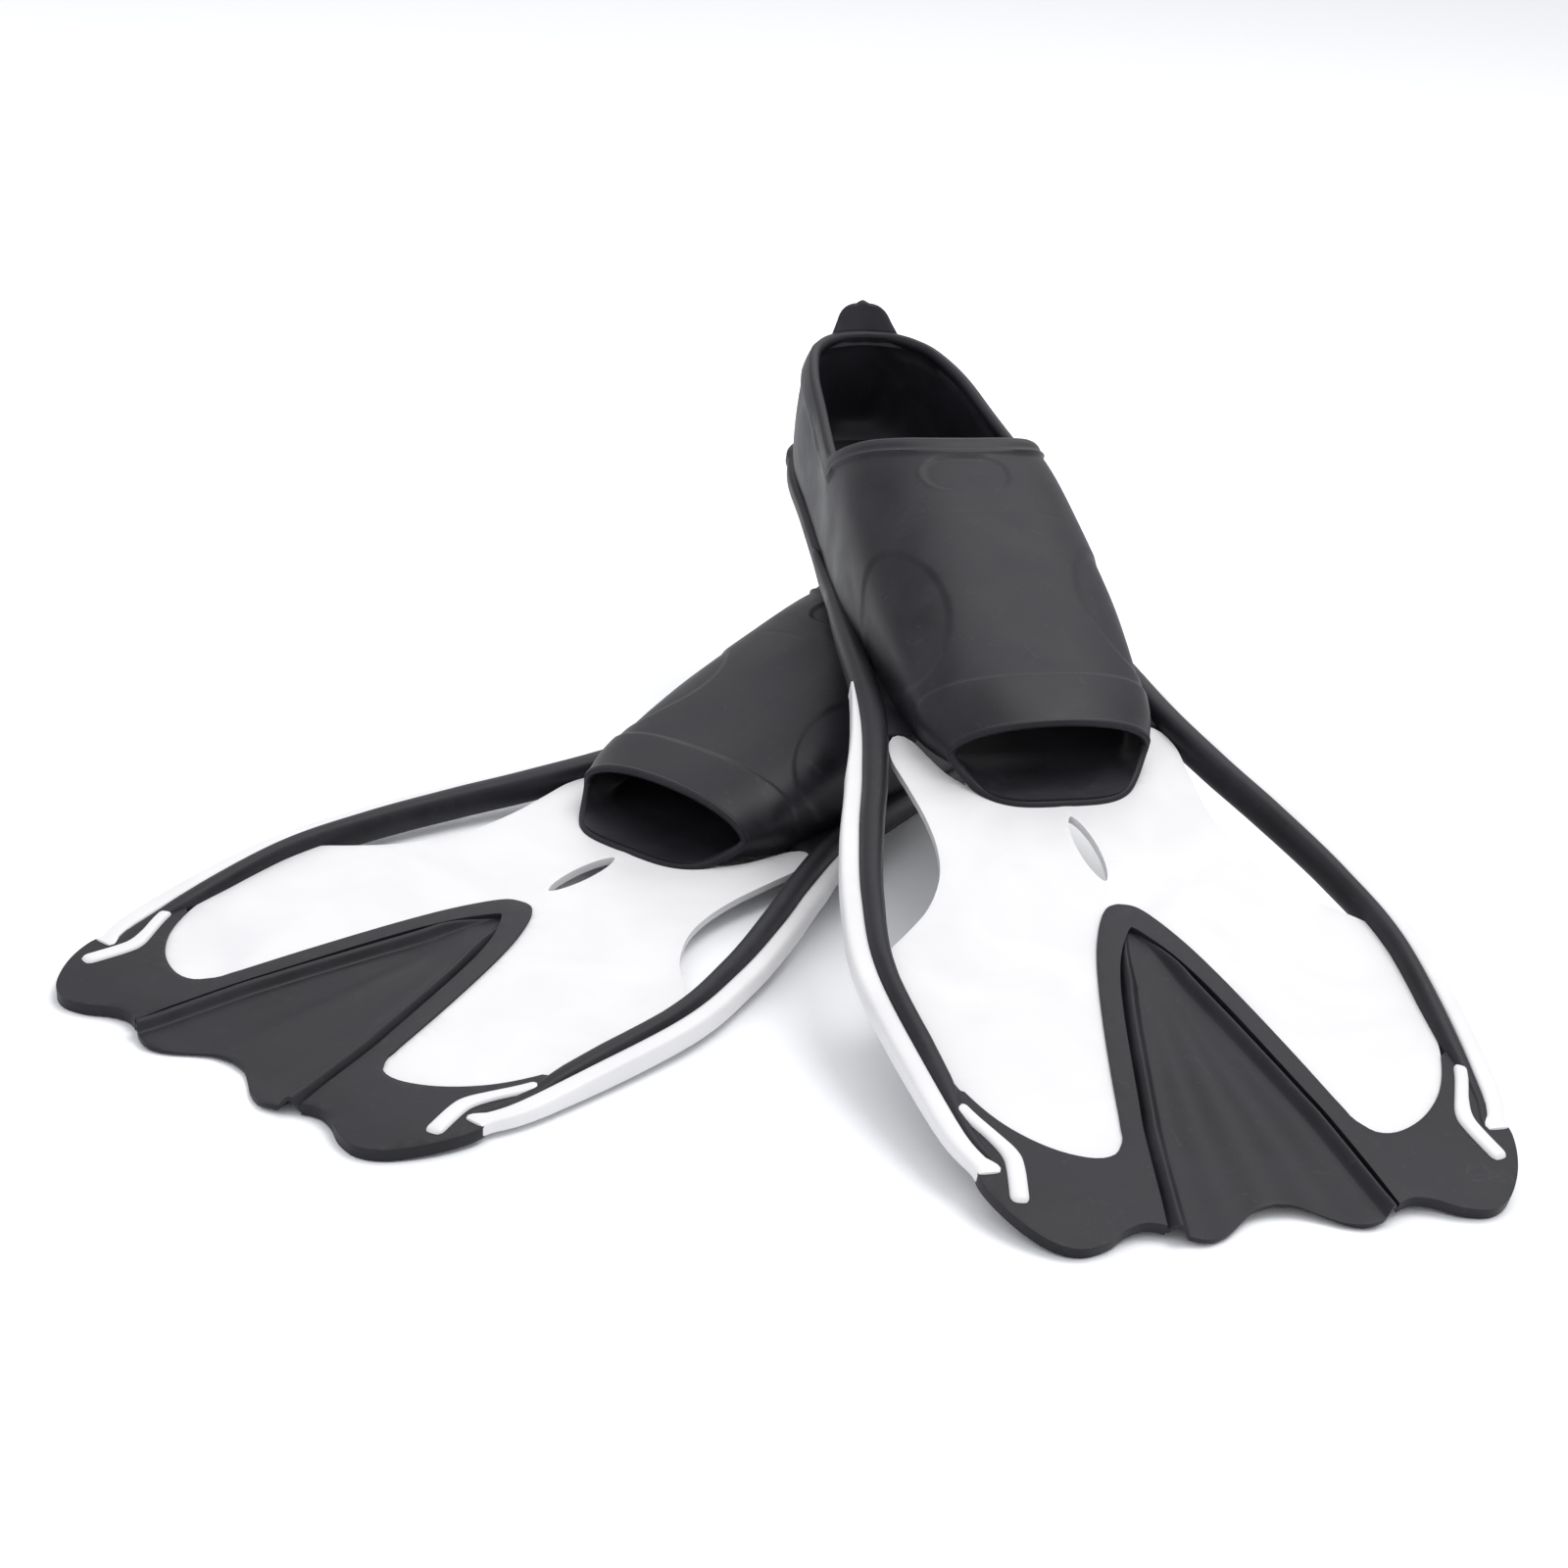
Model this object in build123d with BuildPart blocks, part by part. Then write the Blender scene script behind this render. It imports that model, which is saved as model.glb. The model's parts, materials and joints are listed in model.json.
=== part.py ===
from build123d import *
import os
from math import atan, atan2, cos, degrees, pi, radians, sin

# A pair of full-foot swim fins: the upper fin lies with its foot pocket on the lower one.
# Each fin is drawn in its own frame: X across, Y from the heel towards the tip, Z up
# from the top face of the blade. Sizes are millimetres; "reach" is a distance along Y.

# ---------------------------------------------------------------- foot pocket
heel_reach = -70
pocket_end = 266
pocket_wall = 3.4
pocket_roundness = 2.9
section_points = 24
collar_front = 81
collar_corner_reach = 56
collar_corner_half = 46
collar_height = 47
toe_top = (245, 28)
toe_bottom = (267, 8)
# reach, half width, top and bottom of each station along the pocket
pocket_stations = [
    (heel_reach, 17, 53, -4),
    (heel_reach + 6, 28, 55, -10),
    (heel_reach + 20, 36.5, 57, -19),
    (heel_reach + 45, 43, 59, -21),
    (10, 46, 62, -21),
    (50, 50, 66, -21),
    (collar_front, 53.5, 66.5, -21),
    (120, 56, 58, -21),
    (160, 56, 48, -16),
    (200, 53, 38, -12),
    (225, 50.5, 32.5, -9),
    (toe_top[0], 48.5, toe_top[1], -8),
    (pocket_end, 46.5, 25, -8),
]

# ---------------------------------------------------------------- heel tab
tab_width = 40
tab_top_width = 30
tab_length = 24
tab_thickness = 4
tab_lean = 40
tab_base_height = 46
tab_gap = 0.6
tab_corner = 9

# ---------------------------------------------------------------- sole
sole_level = -10
sole_rise_start = 150
sole_rise_end = 206
sole_plate_thickness = 2.5
tread_thickness = 2.5
tread_end = 150
rand_width = 3
tread_inset = 1.5

# ---------------------------------------------------------------- blade
tip_reach = 502
plate_thickness = 3
blade_half = 109
widest_reach = 368
shoulder_half = blade_half - 7
shoulder_reach = tip_reach - 62
rail_end_half = blade_half - 13.5
rail_end_reach = tip_reach - 39
rail_start_half = 58
rail_start_reach = 60
rail_root_half = 71
rail_root_reach = 200
rail_neck_half = blade_half - 16
rail_neck_reach = 280
rail_root_width = 15.5
rail_width = 10
rail_top = 8
rail_bottom = -7
rail_full_reach = 215
rail_fade_reach = 385
rail_end_top = 2.5
strip_width = 7.5
strip_start_reach = 186
strip_top = 4
strip_bottom = -5
prong_half = 55
prong_reach = 214
prong_round = 6
neck_half = 62
vent_end_reach = 348
slot_reach = 295
slot_length = 42
slot_width = 9
apex_reach = 330
channel_half = 43.5
channel_reach = tip_reach - 47
lobe_reach = tip_reach - 38
lobe_half = 58
channel_border = 9
membrane_apex_gap = 22
membrane_end = tip_reach - 28
membrane_top = 0.5
membrane_bottom = -2.5
trim_top = 1.5
trim_bottom = -4
centre_notch = tip_reach - 13.5
side_notch_half = 50
side_notch_reach = tip_reach - 8.5
leg_lobe_half = 31
outer_lobe_half = blade_half - 31
insert_width = 7
insert_top = (blade_half - 11.5, tip_reach - 64)
insert_knee = (blade_half - 21.5, tip_reach - 41)
insert_foot = (blade_half - 17.5, tip_reach - 23.5)
insert_proud = 0.8

# ---------------------------------------------------------------- fits and placing
fit_gap = 0.2
flex_reach = 322
flex_gap = 6
stack_gap = 0.8
lower_tip = (-198.4, -47.3)
lower_yaw = -34.4
upper_tip = (182.5, -94.6)
upper_yaw = 17.05

LEFT = -1
RIGHT = 1
tall = 200

# the sole slopes down to the heel, so that the tread lies on one plane with the tip's underside
tread_level = sole_level - sole_plate_thickness - tread_thickness
sole_slope = (trim_bottom - tread_level) / (tip_reach - sole_rise_start)


def superellipse(half_width, top, bottom):
    """Points round a pocket section, wide and flat on top."""
    centre = (top + bottom) / 2
    half_height = (top - bottom) / 2
    power = 2 / pocket_roundness
    points = []
    for step in range(section_points):
        turn = 2 * pi * step / section_points
        across = half_width * abs(cos(turn)) ** power * (1 if cos(turn) >= 0 else -1)
        up = half_height * abs(sin(turn)) ** power * (1 if sin(turn) >= 0 else -1)
        points.append((across, centre + up))
    return points


def pocket_body(grow):
    """The pocket as a closed body, its skin moved out by grow (in when negative)."""
    with BuildPart() as body:
        for reach, half_width, top, bottom in pocket_stations:
            is_heel = reach == heel_reach
            place = reach - grow if is_heel else reach
            with BuildSketch(Plane.XZ.offset(-place)):
                with BuildLine():
                    Spline(superellipse(half_width + grow, top + grow, bottom - grow), periodic=True)
                make_face()
        loft()
    return body.part


def mirrored_face(points_groups):
    """A sketch, symmetric about X=0, from the right-hand outline given as curves."""
    with BuildSketch() as face:
        with BuildLine():
            for kind, points in points_groups:
                if kind == "spline":
                    Spline(points)
                else:
                    Polyline(points)
            mirror(about=Plane.YZ)
        make_face()
    return face.sketch


def side_face(points_groups, side):
    """A sketch on one side of the fin."""
    with BuildSketch() as face:
        with BuildLine():
            for kind, points in points_groups:
                turned = [(side * x, y) for x, y in points]
                if kind == "spline":
                    Spline(turned)
                else:
                    Polyline(turned)
        make_face()
    return face.sketch


def rail_edge(shift_root, shift_blade):
    """The rail's outer line, moved outwards; it starts on the pocket's side."""
    return [
        (rail_start_half + shift_root / 3, rail_start_reach),
        (rail_root_half + shift_root, rail_root_reach),
        (rail_neck_half + shift_root, rail_neck_reach),
        (blade_half + shift_blade, widest_reach),
        (shoulder_half + shift_blade, shoulder_reach),
        (rail_end_half + shift_blade, rail_end_reach),
    ]


def rail_outline(side):
    """Plan of a side rail."""
    outer = rail_edge(0, 0)
    inner = rail_edge(-rail_root_width, -rail_width)
    inner[0] = (outer[0][0] - rand_width - rail_root_width / 2, rail_start_reach)
    ends = [outer[0], inner[0]], [outer[-1], inner[-1]]
    return side_face([("spline", outer), ("spline", inner), ("line", ends[0]), ("line", ends[1])], side)


def strip_outline(side):
    """Plan of the strip outside a rail; it starts as a point."""
    inner = rail_edge(0, 0)[1:]
    inner[0] = (rail_root_half - 2, strip_start_reach)
    outer = rail_edge(strip_width, strip_width)[1:]
    outer[0] = (inner[0][0] + 1.5, strip_start_reach)
    ends = [inner[0], outer[0]], [inner[-1], outer[-1]]
    return side_face([("spline", inner), ("spline", outer), ("line", ends[0]), ("line", ends[1])], side)


def channel_outline():
    """The V between the plate's lobes, from its apex to past the tip."""
    past_tip = tip_reach + 20
    edge = [
        (0, apex_reach),
        (channel_half * 0.45, apex_reach + 28),
        (channel_half * 0.72, apex_reach + 70),
        (channel_half, channel_reach),
    ]
    return mirrored_face([("spline", edge), ("line", [edge[-1], (channel_half, past_tip), (0, past_tip)])])


def membrane_outline():
    """The folded fan inside the V's border."""
    half = channel_half - channel_border
    edge = [(0, apex_reach + membrane_apex_gap), (half * 0.55, apex_reach + 66), (half, channel_reach)]
    end = [(half + 2, membrane_end), (0, membrane_end - 6)]
    return mirrored_face([("spline", edge), ("line", [edge[-1]] + end)])


def plate_outline():
    """The white plate: prongs beside the toe, neck, two broad lobes beside the channel."""
    edge = rail_edge(-rail_root_width, -rail_width)
    prong = [
        (0, prong_reach + prong_round),
        (prong_half - prong_round, prong_reach + prong_round),
        (prong_half, prong_reach),
        (prong_half + prong_round, prong_reach + prong_round),
        (neck_half + 3, prong_reach + 22),
    ]
    neck = [
        prong[-1],
        (neck_half, slot_reach - 20),
        (neck_half + 5, slot_reach + 10),
        (blade_half - rail_width - 22, vent_end_reach - 20),
        (blade_half - rail_width - 1, vent_end_reach),
    ]
    rim = [
        neck[-1], (edge[3][0] + 2, edge[3][1]), (edge[4][0] + 1, edge[4][1] - 14),
        (lobe_half + 20, lobe_reach - 12), (lobe_half, lobe_reach),
    ]
    return mirrored_face([
        ("line", [prong[0], prong[1]]),
        ("spline", prong[1:]),
        ("spline", neck),
        ("spline", rim),
        ("line", [(lobe_half, lobe_reach), (0, lobe_reach)]),
    ])


def tip_outline():
    """The scalloped tip, from the rails' ends to its lobes and notches."""
    outer = [
        (rail_end_half + strip_width - 0.5, rail_end_reach),
        (outer_lobe_half + 16, rail_end_reach + 24),
        (outer_lobe_half, tip_reach),
        (side_notch_half + 10, side_notch_reach + 3),
        (side_notch_half, side_notch_reach),
        (leg_lobe_half, tip_reach),
        (leg_lobe_half / 2, centre_notch + 6),
        (0, centre_notch),
    ]
    start = shoulder_reach - 10
    return mirrored_face([
        ("spline", outer),
        ("line", [
            outer[0], (rail_end_half + 2, rail_end_reach - 6), (shoulder_half - 4, shoulder_reach),
            (shoulder_half - 6, start), (0, start),
        ]),
    ])


def plate_region():
    """The plate's plan with the channel taken away; it reaches a little under the rails."""
    with BuildSketch() as region:
        add(plate_outline())
        add(channel_outline(), mode=Mode.SUBTRACT)
    return region.sketch


def insert_outline(side):
    """A bent bar with round ends."""
    route = [(side * insert_top[0], insert_top[1]), (side * insert_knee[0], insert_knee[1]),
             (side * insert_foot[0], insert_foot[1])]
    with BuildSketch() as face:
        with BuildLine():
            bar = FilletPolyline(*route, radius=insert_width)
        SlotArc(bar, insert_width)
    return face.sketch


def beyond_flex(keep):
    """Cut the current part at the flex line and keep one side of it."""
    side = 1 if keep == Keep.TOP else -1
    cut = Plane(origin=(0, flex_reach + side * flex_gap / 2, 0), x_dir=(1, 0, 0), z_dir=(0, 1, 0))
    split(bisect_by=cut, keep=keep)


def sole_line(lift, start, end):
    """Side view of the sole: sloping under the foot, rising to the blade, then level."""
    line = [(start, sole_level - sole_slope * (sole_rise_start - start)), (sole_rise_start, sole_level)]
    if end > sole_rise_start:
        line.append((sole_rise_end, -plate_thickness))
    if end > sole_rise_end:
        line.append((end, -plate_thickness))
    return [(reach, height + lift) for reach, height in line]


def sole_outline(shift):
    """Plan of the sole, as wide as the pocket and the rand."""
    points = [(0, heel_reach - shift)]
    for reach, half_width, top, bottom in pocket_stations[1:-1]:
        points.append((half_width + shift, reach))
    return mirrored_face([("spline", points), ("line", [points[-1], (0, points[-1][1])])])


def sole_sheet(lift, thickness, end, shift):
    """A sheet along the sole, its top lifted off the sole line, cut to the sole's plan."""
    top = sole_line(lift, heel_reach - 2 * rand_width, end)
    under = sole_line(lift - thickness, heel_reach - 2 * rand_width, end)
    with BuildPart() as sheet:
        with BuildSketch(Plane.YZ):
            Polygon(*top, *reversed(under), align=None)
        extrude(amount=tall, both=True)
        with BuildSketch(Plane.XY.offset(-tall / 2)):
            add(sole_outline(shift))
        extrude(amount=tall, mode=Mode.INTERSECT)
    return sheet.part


outer_body = pocket_body(0)
inner_body = pocket_body(-pocket_wall)
clearance_body = pocket_body(fit_gap)

# ---------------------------------------------------------------- the foot half of a fin
with BuildPart() as foot_pocket:
    add(outer_body)
    add(inner_body, mode=Mode.SUBTRACT)
    # a floor along the sole, because the inner body reaches lower than the underside
    add(sole_sheet(pocket_wall, pocket_wall, pocket_end, rand_width))
    add(outer_body, mode=Mode.INTERSECT)
    under = sole_line(0, heel_reach - 20, pocket_end + 20)
    with BuildSketch(Plane.YZ):
        Polygon(*under, (pocket_end + 20, -tall), (heel_reach - 20, -tall), align=None)
    extrude(amount=tall, both=True, mode=Mode.SUBTRACT)
    # foot opening: everything above the collar line, back from the curved front lip
    with BuildSketch(Plane.XY.offset(collar_height)):
        with BuildLine():
            Spline([
                (-collar_corner_half, collar_corner_reach), (0, collar_front),
                (collar_corner_half, collar_corner_reach),
            ])
            Polyline([
                (collar_corner_half, collar_corner_reach), (tall, collar_corner_reach - 10),
                (tall, heel_reach - 20), (-tall, heel_reach - 20), (-tall, collar_corner_reach - 10),
                (-collar_corner_half, collar_corner_reach),
            ])
        make_face()
    extrude(amount=tall, mode=Mode.SUBTRACT)
    # toe opening: a slanting plane, low at the front
    slant = Plane(
        origin=(0, toe_bottom[0], toe_bottom[1]), x_dir=(1, 0, 0),
        z_dir=(0, toe_top[1] - toe_bottom[1], toe_bottom[0] - toe_top[0]),
    )
    split(bisect_by=slant, keep=Keep.BOTTOM)

with BuildPart() as heel_tab:
    lean = radians(tab_lean)
    tab_plane = Plane(
        origin=(0, heel_reach - tab_gap, tab_base_height), x_dir=(1, 0, 0), z_dir=(0, -cos(lean), -sin(lean)),
    )
    with BuildSketch(tab_plane):
        side_slope = degrees(atan2(tab_length, (tab_width - tab_top_width) / 2))
        Trapezoid(tab_width, tab_length, side_slope, align=(Align.CENTER, Align.MIN))
    extrude(amount=tab_thickness)
    across_tab = Axis((0, 0, 0), tab_plane.z_dir)
    fillet(heel_tab.edges().filter_by(across_tab).sort_by(Axis.Z)[-2:], radius=tab_corner)

with BuildPart() as sole_plate:
    add(sole_sheet(0, sole_plate_thickness, sole_rise_end, rand_width))

with BuildPart() as sole_tread:
    add(sole_sheet(-sole_plate_thickness, tread_thickness, tread_end, rand_width - tread_inset))

with BuildPart() as plate_blank:
    with BuildSketch(Plane.XY.offset(-plate_thickness)):
        add(plate_region())
        for side in (LEFT, RIGHT):
            add(rail_outline(side), mode=Mode.SUBTRACT)
        with Locations((0, slot_reach)):
            Ellipse(slot_width / 2, slot_length / 2, mode=Mode.SUBTRACT)
    extrude(amount=plate_thickness)
    add(clearance_body, mode=Mode.SUBTRACT)

with BuildPart() as neck_plate:
    add(plate_blank.part)
    beyond_flex(Keep.BOTTOM)

with BuildPart() as blade_plate:
    add(plate_blank.part)
    beyond_flex(Keep.TOP)

pieces = {
    "foot_pocket": foot_pocket,
    "heel_tab": heel_tab,
    "sole_plate": sole_plate,
    "sole_tread": sole_tread,
    "neck_plate": neck_plate,
    "blade_plate": blade_plate,
}

# ---------------------------------------------------------------- rails, strips and inserts
rail_crest = [
    (rail_start_reach, sole_level + plate_thickness), (rail_root_reach, rail_top),
    (rail_fade_reach, rail_top), (rail_end_reach, rail_end_top),
]
for side, side_name in ((LEFT, "left"), (RIGHT, "right")):
    for half_name, keep in (("rail_root", Keep.BOTTOM), ("rail", Keep.TOP)):
        with BuildPart() as rail:
            with BuildSketch(Plane.YZ):
                with BuildLine():
                    Polyline(rail_crest)
                    Polyline([
                        rail_crest[-1], (rail_end_reach, rail_bottom / 2), (rail_fade_reach, rail_bottom),
                        (rail_full_reach, rail_bottom), (rail_start_reach, sole_level), rail_crest[0],
                    ])
                make_face()
            extrude(amount=tall, both=True)
            with BuildSketch(Plane.XY.offset(-tall / 2)):
                add(rail_outline(side))
                add(insert_outline(side), mode=Mode.SUBTRACT)
            extrude(amount=tall, mode=Mode.INTERSECT)
            add(clearance_body, mode=Mode.SUBTRACT)
            add(sole_plate.part, mode=Mode.SUBTRACT)
            beyond_flex(keep)
        pieces[half_name + "_" + side_name] = rail
    for half_name, keep in (("strip_root", Keep.BOTTOM), ("strip", Keep.TOP)):
        with BuildPart() as strip:
            with BuildSketch(Plane.XY.offset(strip_bottom)):
                add(strip_outline(side))
            extrude(amount=strip_top - strip_bottom)
            with BuildSketch(Plane.XY.offset(-tall / 2)):
                add(rail_outline(side))
            extrude(amount=tall, mode=Mode.SUBTRACT)
            beyond_flex(keep)
        pieces[half_name + "_" + side_name] = strip
    with BuildPart() as insert:
        with BuildSketch(Plane.XY.offset(-plate_thickness)):
            add(insert_outline(side))
        extrude(amount=plate_thickness + trim_top + insert_proud)
    pieces["insert_" + side_name] = insert

# ---------------------------------------------------------------- channel and tip
with BuildPart() as channel_membrane:
    with BuildSketch(Plane.XY.offset(membrane_bottom)):
        add(membrane_outline())
    extrude(amount=membrane_top - membrane_bottom)
pieces["channel_membrane"] = channel_membrane

with BuildSketch() as trim_plan:
    add(channel_outline())
    with Locations((0, shoulder_reach)):
        Rectangle(2 * tall, 2 * tall, align=(Align.CENTER, Align.MAX), mode=Mode.INTERSECT)
    add(tip_outline())
    add(plate_region(), mode=Mode.SUBTRACT)
    add(membrane_outline(), mode=Mode.SUBTRACT)
    for side in (LEFT, RIGHT):
        add(rail_outline(side), mode=Mode.SUBTRACT)
        add(strip_outline(side), mode=Mode.SUBTRACT)
        add(insert_outline(side), mode=Mode.SUBTRACT)

with BuildPart() as tip_trim:
    with BuildSketch(Plane.XY.offset(trim_bottom)):
        # the trim is one moulding: only the face itself, without hairline scraps beside it
        add(trim_plan.faces().sort_by(SortBy.AREA)[-1])
    extrude(amount=trim_top - trim_bottom)
pieces["tip_trim"] = tip_trim

# ---------------------------------------------------------------- the two fins in place
def placing(tip, yaw, pitch):
    """Where a fin goes: its tip's underside at a point on the floor, its heel raised by pitch."""
    stand = Location((tip[0], tip[1], 0), (0, 0, 180 + yaw))
    return stand * Location((0, 0, 0), (-pitch, 0, 0)) * Location((0, -tip_reach, -trim_bottom))


# the lower fin rests on its tread and its tip
lower_pitch = degrees(atan(sole_slope))
lower_place = placing(lower_tip, lower_yaw, lower_pitch)

# the upper fin rests on its tip and, with its tread, on the top of the lower fin's pocket
upper_pitch = 0
towards_heel = Vector(-sin(radians(upper_yaw)), cos(radians(upper_yaw)), 0)
for reach, half_width, top, bottom in pocket_stations:
    if not collar_front <= reach <= toe_top[0]:
        continue
    for across, height in superellipse(half_width, top, bottom):
        spot = (lower_place * Location((across, reach, height))).position
        distance = (spot - Vector(*upper_tip, 0)).dot(towards_heel)
        pitch = lower_pitch + degrees(atan2(spot.Z + stack_gap, distance))
        upper_pitch = max(upper_pitch, pitch)
upper_place = placing(upper_tip, upper_yaw, upper_pitch)

placed = []
for fin, place in (("lower", lower_place), ("upper", upper_place)):
    for name, piece in pieces.items():
        copy = piece.part.moved(place)
        copy.label = fin + "_" + name
        placed.append(copy)

# the origin is under the middle of the pair
box = placed[0].bounding_box()
for copy in placed[1:]:
    box = box.add(copy.bounding_box())
to_origin = Location((-box.center().X, -box.center().Y, -box.min.Z))
print("pitch of the lower and upper fin", lower_pitch, upper_pitch, "moved by", to_origin.position)
os.makedirs("parts", exist_ok=True)
for copy in placed:
    moved = copy.moved(to_origin)
    moved.label = copy.label
    export_step(moved, "parts/" + moved.label + ".step")
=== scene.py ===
"""A pair of full-foot swim fins, modelled round the packed CAD frame."""

import json
import math

import bmesh
import bpy
from bpy.props import FloatProperty, FloatVectorProperty, PointerProperty
from mathutils import Matrix, Vector


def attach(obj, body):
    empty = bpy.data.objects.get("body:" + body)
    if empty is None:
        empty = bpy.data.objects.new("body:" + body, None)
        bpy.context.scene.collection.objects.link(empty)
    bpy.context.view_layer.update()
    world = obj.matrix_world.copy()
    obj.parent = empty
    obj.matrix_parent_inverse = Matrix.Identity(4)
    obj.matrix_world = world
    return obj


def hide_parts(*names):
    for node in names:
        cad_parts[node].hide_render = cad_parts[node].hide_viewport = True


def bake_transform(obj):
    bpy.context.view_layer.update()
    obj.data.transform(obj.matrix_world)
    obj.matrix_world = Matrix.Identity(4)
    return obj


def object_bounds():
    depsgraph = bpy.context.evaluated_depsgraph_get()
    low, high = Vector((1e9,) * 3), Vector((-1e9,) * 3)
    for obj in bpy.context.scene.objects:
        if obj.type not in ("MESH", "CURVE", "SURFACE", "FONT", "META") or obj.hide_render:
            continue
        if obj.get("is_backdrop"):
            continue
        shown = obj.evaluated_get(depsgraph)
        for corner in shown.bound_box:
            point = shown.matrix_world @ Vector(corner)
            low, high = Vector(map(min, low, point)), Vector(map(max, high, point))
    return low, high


bl_info = {
    "name": "Swim Fin Maker",
    "version": (1, 0, 0),
    "blender": (4, 5, 0),
    "location": "View3D > Sidebar > Swim Fins",
    "description": "Models a pair of moulded full-foot swim fins on their frame",
    "category": "Add Mesh",
}

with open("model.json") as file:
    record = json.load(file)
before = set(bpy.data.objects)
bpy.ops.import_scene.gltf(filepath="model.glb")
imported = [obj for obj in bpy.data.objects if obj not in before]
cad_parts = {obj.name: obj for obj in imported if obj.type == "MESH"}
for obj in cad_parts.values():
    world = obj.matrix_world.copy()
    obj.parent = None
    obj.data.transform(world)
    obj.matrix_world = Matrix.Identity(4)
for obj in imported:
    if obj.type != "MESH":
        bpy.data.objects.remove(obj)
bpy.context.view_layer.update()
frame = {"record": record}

MM = 0.001
FINS = ("lower", "upper")

# A fin is drawn in its own frame, in millimetres: across, reach (heel to tip), height above
# the blade's top face. These two points of it are joint centres, which the record places.
FLEX_POINT = Vector((0, 322, -1.5))
TAB_POINT = Vector((0, -72.5, 46.5))

# ---------------------------------------------------------------- outlines of the fin
POCKET_ROUNDNESS = 2.9
# reach, half width, top and bottom of the foot pocket
POCKET = [
    (-71.0, 0, 49, 6), (-69.6, 14, 51, -3), (-66.5, 21.5, 53, -8), (-61, 29, 55, -14),
    (-50, 36.5, 57, -19), (-25, 43, 59, -21), (10, 46, 62, -21), (50, 50, 66, -21),
    (81, 53.5, 66.5, -21), (120, 56, 58, -21), (160, 56, 48, -16), (200, 53, 38, -12),
    (225, 50, 32.5, -9), (245, 43, 28, -7), (268, 40, 22, -6),
]
COLLAR_CORNER = 49
FAR = 400
COLLAR_FRONT = 81
TOE_TOP = (245, 28)
TOE_BOTTOM = (267, 8)
TOE_SIDE = 240
# the blank badge: across, reach, half of its straight part
BADGE = (2.5, 101.5, 11)
# outer edge of a side rail, from the pocket's side to the tip
RAIL_EDGE = [
    (51.5, 48), (56, 90), (63, 135), (71, 200), (81.5, 243), (93, 280), (103.5, 322), (109, 368), (102, 440),
    (95.5, 463),
]
# the next tables give (reach, value)
RAIL_WIDTH = [
    (48, 4), (135, 11), (200, 12.5), (280, 11.2), (345, 9), (368, 8.4), (400, 8.8), (420, 8.2),
    (441, 5.6), (463, 4.5),
]
RAIL_TOP = [
    (48, -8), (100, -2), (150, 4.5), (205, 7.2), (300, 6.6), (385, 5.8), (420, 4.2), (440, 2.0),
    (463, 1.6),
]
RAIL_UNDER = [(48, -14), (200, -7.5), (385, -7), (463, -3.5)]
STRIP_WIDTH = [(180, 0.6), (200, 3.0), (240, 6.6), (280, 7.2), (368, 7.6), (440, 7.3), (467, 6.4)]
INNER_EDGE = [
    (345, 0), (346.5, 1.6), (350, 4.0), (357, 8.2), (365, 12), (375, 15.8), (395, 21.6),
    (419, 27.6), (443, 33.4), (457, 36.6), (505, 45),
]
CHANNEL_EDGE = [
    (330, 0), (331.5, 4), (336, 8.5), (345, 13.5), (358, 19), (375, 24.5), (395, 30), (419, 36),
    (443, 41.5), (457, 44.5), (505, 52),
]
PLATE_EDGE = [
    (0, 262), (18, 260.5), (34, 253), (43, 243), (48, 230), (52, 218), (57, 213.5), (62, 218),
    (64.5, 230), (63, 248), (61.5, 270), (62.5, 290), (67, 308), (77, 326), (90, 340), (98.5, 348),
    (101, 353), (101.5, 370), (101.5, 390), (99, 408), (95, 424), (88, 439), (79.5, 450), (69, 458.5),
    (58, 463), (50, 462), (45, 456),
]
TIP_EDGE = [
    (0, 488.5), (8, 490), (15, 494.5), (22, 499.5), (30, 502), (37, 500), (42.5, 496), (50, 493.5),
    (58, 495.5),
    (66, 500), (76, 502), (85, 498), (93, 488.5), (98.5, 478), (101.5, 468), (101, 462),
]
SLOT = (0, 295, 4.6, 21)
INSERT_ROUTE = [(98.8, 432), (95.5, 440), (90.5, 450), (87.4, 458), (87.6, 465), (91.3, 481)]


def soft_max(first, second, reach):
    """The larger of two values, blended where they come close."""
    share = max(0.0, 1 - abs(first - second) / reach)
    return max(first, second) + reach * share ** 3 / 6


def between(table, at):
    """Value of a table of (place, value) at a place."""
    if at <= table[0][0]:
        return table[0][1]
    for (low, first), (high, second) in zip(table, table[1:]):
        if at <= high:
            share = (at - low) / (high - low)
            return first + (second - first) * share
    return table[-1][1]


def smooth_step(low, high, at):
    share = min(1, max(0, (at - low) / (high - low)))
    return share * share * (3 - 2 * share)


def bump(at, centre, width):
    """A rounded ridge of height 1 and the given half width."""
    share = abs(at - centre) / width
    return 0 if share >= 1 else (1 - share * share) ** 2


def flowing(points, step):
    """Points along a smooth curve through the given ones, about a step apart."""
    found = []
    padded = [points[0] * 2 - points[1]] + points + [points[-1] * 2 - points[-2]]
    for before, start, end, after in zip(padded, padded[1:], padded[2:], padded[3:]):
        count = max(1, round((end - start).length / step))
        for index in range(count):
            t = index / count
            found.append(0.5 * (
                2 * start + (end - before) * t + (2 * before - 5 * start + 4 * end - after) * t ** 2
                + (3 * start - before - 3 * end + after) * t ** 3
            ))
    return found + [points[-1]]


def smooth_table(table, column, step):
    """One column of a table of stations, made smooth, as a new table of (place, value)."""
    curve = flowing([Vector((row[0], row[column])) for row in table], step)
    return [(point.x, point.y) for point in curve]


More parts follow.
